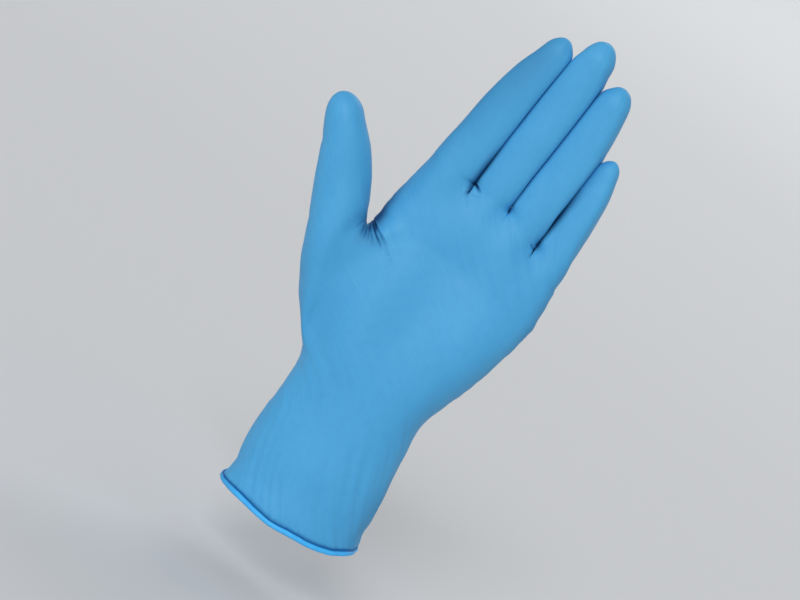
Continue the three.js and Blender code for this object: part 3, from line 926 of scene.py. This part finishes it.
def lowered_end(points):
    """Draws the film's end down into the bead, by the square of the way below a height, and lifts
    the rim by its table, less further up."""
    h = above_rim(points)
    way = np.clip(1 - h / WALL_LOWERED_FROM, 0, 1)
    lift = np.interp(points[:, 0], RIM_LIFT["x"], RIM_LIFT["lift"]) * (1 - smooth(h / RIM_LIFT_FADES))
    moved = points.copy()
    moved[:, 2] += lift - WALL_LOWERED * way**2
    return moved


def finished(points, normals, height):
    """The skin raised along its normals, with its end lowered and its fingers pressed together."""
    return pressed(lowered_end(points + height[:, None] * normals))


# Meshes

def new_piece(name, points, face_tables, material, replaced):
    """A mesh object from points in millimetres and tables of faces, whose free places hold -1."""
    loops = np.concatenate([rows[rows >= 0] for rows in face_tables])
    sizes = np.concatenate([(rows >= 0).sum(axis=1) for rows in face_tables])
    mesh = bpy.data.meshes.new(name)
    mesh.vertices.add(len(points))
    mesh.vertices.foreach_set("co", (points * MM).astype(np.float32).ravel())
    mesh.loops.add(len(loops))
    mesh.loops.foreach_set("vertex_index", loops.astype(np.int32))
    mesh.polygons.add(len(sizes))
    mesh.polygons.foreach_set("loop_start", (np.cumsum(sizes) - sizes).astype(np.int32))
    mesh.polygons.foreach_set("use_smooth", np.ones(len(sizes), bool))
    mesh.update(calc_edges=True)
    mesh.materials.append(material)
    piece = bpy.data.objects.new(name, mesh)
    bpy.context.scene.collection.objects.link(piece)
    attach(piece, BODY)
    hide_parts(replaced)
    return piece


def add_attribute(piece, name, values):
    attribute = piece.data.attributes.new(name, "FLOAT", "POINT")
    attribute.data.foreach_set("value", values.astype(np.float32))


def add_drawn_place(piece, points):
    """Where a point lies on the drawn film: the way across the streaks, and depth and height made
    short, so that a noise in this place comes out as fine long streaks."""
    place = np.stack([streak_place(points), points[:, 1] * STREAK_FINE, points[:, 2] * STREAK_FINE], axis=1)
    attribute = piece.data.attributes.new("drawn", "FLOAT_VECTOR", "POINT")
    attribute.data.foreach_set("vector", place.astype(np.float32).ravel())


def rim_order(points, quads):
    """Ids of the open rim's points, by their angle round the cuff. Other open edges, where finely
    cut faces meet the rest, lie higher up."""
    edges, _, uses = edges_of(quads)
    rim = np.unique(edges[uses == 1])
    rim = rim[above_rim(points[rim]) < FINE_RIM / 2]
    middle = points[rim].mean(axis=0)
    angle = np.arctan2(points[rim, 1] - middle[1], points[rim, 0] - middle[0])
    return rim[np.argsort(angle)]


def make_film(net, quads, material):
    """The film: an outer skin, cut finer where it is creased and raised by its relief, and an inner
    skin one wall away, joined round the rim by faces with one inner and several outer edges."""
    points, normals, outer = skin(net, quads, SKIN_LEVELS)
    near_rim = above_rim(points)[outer].mean(axis=1) < FINE_RIM
    chosen = in_fine_places(points, outer, "coarse") | near_rim
    points, normals, outer, beside = cut_finer(points, normals, outer, chosen)
    between_steps = [beside]
    for reach in ("fine", "finest"):
        chosen = in_fine_places(points, outer, reach)
        points, normals, outer, beside = cut_finer(points, normals, outer, chosen)
        between_steps.append(beside)
    outer_rim = rim_order(points, outer)
    sharp = sharp_relief(points, normals)
    shown = finished(points, normals, broad_relief(points, normals) - sharp)

    inside, inside_normals, inner = skin(net, quads, LINING_LEVELS)
    inner_rim = rim_order(inside, inner)
    thickness = mix(WALL["rim"], WALL["inside"], between(above_rim(inside), WALL["changes"]))
    lining = finished(inside, inside_normals, broad_relief(inside, inside_normals) - thickness)

    nearest = np.linalg.norm(points[outer_rim] - inside[inner_rim[0]], axis=1).argmin()
    outer_rim = np.roll(outer_rim, -nearest)
    per_inner = len(outer_rim) // len(inner_rim)
    steps = np.arange(len(inner_rim))[:, None] * per_inner + np.arange(per_inner + 1)
    first = len(points)
    over = outer_rim[steps % len(outer_rim)]
    under = first + np.stack([inner_rim, np.roll(inner_rim, -1)], axis=1)
    joined = np.hstack([over[:, ::-1], under])
    face_tables = [outer, *between_steps, first + inner[:, ::-1], joined]
    both = np.vstack([shown, lining])
    piece = new_piece("glove_film", both, face_tables, material, "glove_shell")
    # Painted shade in an attribute: darker in the creases, in the groove above the bead, at shaded places
    # on the palm side and beside the slits between the fingers.
    groove = bell(above_rim(points), GROOVE["width"])
    beside_slits = np.clip(crease_depth(points, SLIT_SHADES), 0, 1)
    placed_shade = placed_height(PAINTED_SHADE_PLACES, points[:, 0], points[:, 2])
    painted_shade = np.clip(sharp, 0, 1) + GROOVE["shade"] * groove + toward_palm(normals) * placed_shade
    painted_shade += toward_palm(normals, SLIT_SIDES) * beside_slits
    add_attribute(piece, "painted_shade", np.append(np.clip(painted_shade, 0, 1), np.zeros(len(lining))))
    add_drawn_place(piece, np.vstack([points, inside]))


def make_bead(net, quads, material):
    """The rolled bead: a round section, less a groove and with a low lip, each exp(-(angle /
    width)^2), carried round the rim with slow waves in its radius and place."""
    points, normals, faces = skin(net, quads, SKIN_LEVELS)
    rim = rim_order(points, faces)
    relief = outline_height(points) + streak_height(points) + uneven_height(points)
    shown = finished(points, normals, relief)
    out = unit(normals[rim] * [1, 1, 0])
    ends = np.abs(out[:, 0]) ** BEAD_ENDS["power"]
    way = np.linspace(0, 2 * np.pi, len(rim), endpoint=False)[:, None]
    waves = np.sin(way * BEAD_UNEVEN["waves"] + BEAD_UNEVEN["phase"])
    radius = BEAD_RADIUS * (1 - BEAD_ENDS["thinner"] * ends)
    radius *= 1 + (waves * BEAD_UNEVEN["radius"]).sum(axis=1)
    middle = shown[rim] + out * (BEAD_OUT + (waves * BEAD_UNEVEN["out"]).sum(axis=1))[:, None]
    middle[:, 2] += (waves * BEAD_UNEVEN["height"]).sum(axis=1) - BEAD_BELOW
    angle = np.linspace(-np.pi, np.pi, BEAD_SIDES, endpoint=False)
    groove = bell(angle - BEAD_GROOVE["at"], BEAD_GROOVE["width"])
    lip = bell(angle - BEAD_LIP["at"], BEAD_LIP["width"])
    shape = 1 - BEAD_GROOVE["share"] * groove + BEAD_LIP["share"] * lip
    u, v = np.sin(angle) * shape, np.cos(angle) * shape
    rings = middle[:, None] + (radius[:, None] * u)[..., None] * out[:, None]
    rings[..., 2] += radius[:, None] * v
    ids = np.arange(rings.shape[0] * BEAD_SIDES).reshape(-1, BEAD_SIDES)
    following = np.roll(ids, -1, axis=0)
    faces = np.stack([ids, following, np.roll(following, -1, axis=1), np.roll(ids, -1, axis=1)], axis=2)
    faces = [faces.reshape(-1, 4)]
    piece = new_piece("rolled_bead", rings.reshape(-1, 3), faces, material, "cuff_bead")
    # Painted shade on the bead: darkest on its top, where the film meets it, and darker towards its left
    # end.
    shade = np.exp(-(((angle - BEAD_SHADE["at"]) / BEAD_SHADE["width"]) ** 4))
    darker = BEAD_DARKER["share"] * between(middle[:, :1], BEAD_DARKER["x"])
    add_attribute(piece, "painted_shade", (shade + darker * (1 - shade)).ravel())


# Materials

class Nodes:
    """Short calls for a material's nodes. A value is a number, a colour or another node's output."""

    def __init__(self, name):
        self.material = bpy.data.materials.new(name)
        self.material.use_nodes = True
        self.tree = self.material.node_tree
        self.shader = self.tree.nodes["Principled BSDF"]
        self.place = self.tree.nodes.new("ShaderNodeTexCoord").outputs["Object"]

    def put(self, node, values):
        for socket, value in values.items():
            if isinstance(value, bpy.types.NodeSocket):
                self.tree.links.new(value, node.inputs[socket])
            else:
                node.inputs[socket].default_value = value

    def noise(self, scale, detail=2.0, roughness=0.5, place=None):
        node = self.tree.nodes.new("ShaderNodeTexNoise")
        values = {"Scale": scale, "Detail": detail, "Roughness": roughness}
        self.put(node, {**values, "Vector": place or self.place})
        return node.outputs["Fac"]

    def mapped(self, value, low, high, to_low, to_high):
        node = self.tree.nodes.new("ShaderNodeMapRange")
        ends = {"From Min": low, "From Max": high, "To Min": to_low, "To Max": to_high}
        self.put(node, {**ends, "Value": value})
        return node.outputs["Result"]

    def mixed(self, share, first, second):
        """A colour between two, which are the sockets 6 and 7 of a mix of colours."""
        node = self.tree.nodes.new("ShaderNodeMix")
        node.data_type = "RGBA"
        self.put(node, {"Factor": share, 6: first, 7: second})
        return node.outputs[2]

    def attribute(self, name, output="Fac"):
        node = self.tree.nodes.new("ShaderNodeAttribute")
        node.attribute_name = name
        return node.outputs[output]

    def bump(self, height, distance, below=None):
        """A normal turned by a height, over another such normal if one is given."""
        node = self.tree.nodes.new("ShaderNodeBump")
        self.put(node, {"Distance": distance, "Height": height})
        if below is not None:
            self.put(node, {"Normal": below})
        return node.outputs["Normal"]


def nitrile(name, colours, rough, streaked):
    """Satin film: a base colour that drifts between two blues over centimetres and millimetres, with
    painted shade towards a dark blue and less specular where an attribute marks creases and shaded places,
    an uneven gloss, a fine grain and, where it is stretched, fine streaks whose height is a noise of the
    place on the drawn film."""
    nodes = Nodes(name)
    drift = nodes.mapped(nodes.noise(scale=38, detail=3), low=0.32, high=0.68, to_low=0, to_high=1)
    colour = nodes.mixed(drift, colours["light"], colours["base"])
    speck = nodes.mapped(nodes.noise(scale=300), low=0.45, high=0.75, to_low=0, to_high=0.25)
    colour = nodes.mixed(speck, colour, colours["deep"])
    # Painted shade: an attribute darkens the colour towards the last blue and lowers the specular, in
    # creases and shaded places.
    painted_shade = nodes.attribute("painted_shade")
    shade = nodes.mapped(painted_shade, low=0, high=1, to_low=0, to_high=0.9)
    colour = nodes.mixed(shade, colour, colours["painted_shade"])
    gloss = nodes.mapped(nodes.noise(scale=70), low=0.3, high=0.7, to_low=rough[0], to_high=rough[1])
    specular = nodes.mapped(painted_shade, low=0, high=1, to_low=0.25, to_high=0.05)
    relief = nodes.bump(nodes.noise(scale=1400), distance=0.00004)
    if streaked:
        drawn = nodes.attribute("drawn", "Vector")
        streaks = nodes.noise(scale=0.36, detail=4, roughness=0.6, place=drawn)
        relief = nodes.bump(streaks, distance=0.00024, below=relief)
    nodes.put(nodes.shader, {"Base Color": colour, "Roughness": gloss,
                             "Specular IOR Level": specular, "Normal": relief})
    return nodes.material


# The last blue of each set is the dark blue of painted shade.
FILM_BLUES = {
    "light": (0.078, 0.402, 0.740, 1),
    "base": (0.071, 0.378, 0.705, 1),
    "deep": (0.060, 0.340, 0.665, 1),
    "painted_shade": (0.004, 0.048, 0.165, 1),
}
FILM_ROUGH = (0.46, 0.58)
BEAD_BLUES = {
    "light": (0.070, 0.520, 0.990, 1),
    "base": (0.060, 0.470, 0.970, 1),
    "deep": (0.040, 0.380, 0.900, 1),
    "painted_shade": (0.006, 0.085, 0.300, 1),
}
BEAD_ROUGH = (0.40, 0.50)

# Stage, light and camera

FLOOR_Z = -0.032  # metres, as all of this part
STAGE_INNER = (0.02, 0.6, 1.6)  # rings of the flat floor
STAGE_FLAT = 2.4
STAGE_CURVE = 4.0
STAGE_RISE = 1.4
STAGE_WALL = 0.2
STAGE_TURNS = 96
STAGE_STEPS = 25
STAGE_PAINT = {"Base Color": (0.74, 0.75, 0.76, 1), "Roughness": 0.9, "Specular IOR Level": 0.1}


def make_stage():
    """A pale floor that curves up into a wall all round: a profile turned about the vertical."""
    arc = np.linspace(0, np.pi / 2, STAGE_STEPS)
    r = np.r_[STAGE_INNER, STAGE_FLAT + STAGE_CURVE * np.sin(arc), STAGE_FLAT + STAGE_CURVE]
    z = np.r_[0, 0, 0, STAGE_RISE * (1 - np.cos(arc)), STAGE_RISE + STAGE_WALL] + FLOOR_Z
    turn = np.linspace(0, 2 * np.pi, STAGE_TURNS, endpoint=False)[:, None]
    high = np.broadcast_to(z, (STAGE_TURNS, len(r)))
    points = np.stack([r * np.cos(turn), r * np.sin(turn), high], axis=2)
    ids = np.arange(STAGE_TURNS * len(r)).reshape(STAGE_TURNS, -1)
    after = np.roll(ids, -1, axis=0)
    faces = np.stack([ids[:, :-1], ids[:, 1:], after[:, 1:], after[:, :-1]], axis=2).reshape(-1, 4)
    mesh = bpy.data.meshes.new("stage")
    mesh.from_pydata(points.reshape(-1, 3).tolist(), [], faces.tolist() + [ids[:, 0].tolist()])
    mesh.polygons.foreach_set("use_smooth", np.ones(len(mesh.polygons), bool))
    material = bpy.data.materials.new("stage_paint")
    material.use_nodes = True
    shader = material.node_tree.nodes["Principled BSDF"]
    for socket, value in STAGE_PAINT.items():
        shader.inputs[socket].default_value = value
    mesh.materials.append(material)
    stage = bpy.data.objects.new("stage", mesh)
    bpy.context.scene.collection.objects.link(stage)


LOOK_AT = Vector((-0.0129, 0, 0.1030))  # the middle of the picture, on the glove's middle plane


# Soft lights: place that the light falls from, strength, and spread as an angle in degrees
LIGHTS = {
    "key": ((-0.4, -2.6, 1.3), 1.35, 22),
    "fill": ((-2.0, -2.0, 1.5), 0.34, 26),
    "back_light": ((0.8, 2.6, 2.4), 0.6, 40),
}
SURROUND = {"Color": (0.95, 0.97, 1.0, 1), "Strength": 0.40}


def add_soft_light(name, toward, strength, spread):
    """A distant light, whose light falls from that place toward the origin."""
    light = bpy.data.lights.new(name, "SUN")
    light.energy, light.angle = strength, math.radians(spread)
    lamp = bpy.data.objects.new(name, light)
    lamp.location = toward
    lamp.rotation_euler = (-Vector(toward)).to_track_quat("-Z", "Y").to_euler()
    bpy.context.scene.collection.objects.link(lamp)


def light_scene():
    """Soft light from the front, a little above and to the left, a weaker one from further left,
    one from behind and above, and an even pale surround."""
    world = bpy.data.worlds.new("surround")
    world.use_nodes = True
    for socket, value in SURROUND.items():
        world.node_tree.nodes["Background"].inputs[socket].default_value = value
    bpy.context.scene.world = world
    for name, light in LIGHTS.items():
        add_soft_light(name, *light)
    bpy.context.scene.view_settings.view_transform = "Standard"


CAMERA = {"lens": 85, "sensor": 36, "width_m": 800 / 2375, "elevation": 5, "roll": 34}


def add_camera():
    """The photograph's view: from the palm side, a little above, turned about the line of sight."""
    data = bpy.data.cameras.new("camera")
    data.lens, data.sensor_width = CAMERA["lens"], CAMERA["sensor"]
    elevation, roll = math.radians(CAMERA["elevation"]), math.radians(CAMERA["roll"])
    sight = Vector((0, math.cos(elevation), -math.sin(elevation)))
    level_up = Vector((0, math.sin(elevation), math.cos(elevation)))
    level_right = Vector((1, 0, 0))
    up = level_up * math.cos(roll) - level_right * math.sin(roll)
    right = level_right * math.cos(roll) + level_up * math.sin(roll)
    place = Matrix((right, up, -sight)).transposed().to_4x4()
    place.translation = LOOK_AT - sight * (CAMERA["lens"] / CAMERA["sensor"] * CAMERA["width_m"])
    camera = bpy.data.objects.new("camera", data)
    camera.matrix_world = place
    bpy.context.scene.collection.objects.link(camera)
    bpy.context.scene.camera = camera


add_camera()
light_scene()
make_stage()
given, net_quads = skin_net()
net_points = fitted(given, net_quads)
make_film(net_points, net_quads, nitrile("nitrile_film", FILM_BLUES, FILM_ROUGH, streaked=True))
make_bead(net_points, net_quads, nitrile("rolled_edge", BEAD_BLUES, BEAD_ROUGH, streaked=False))
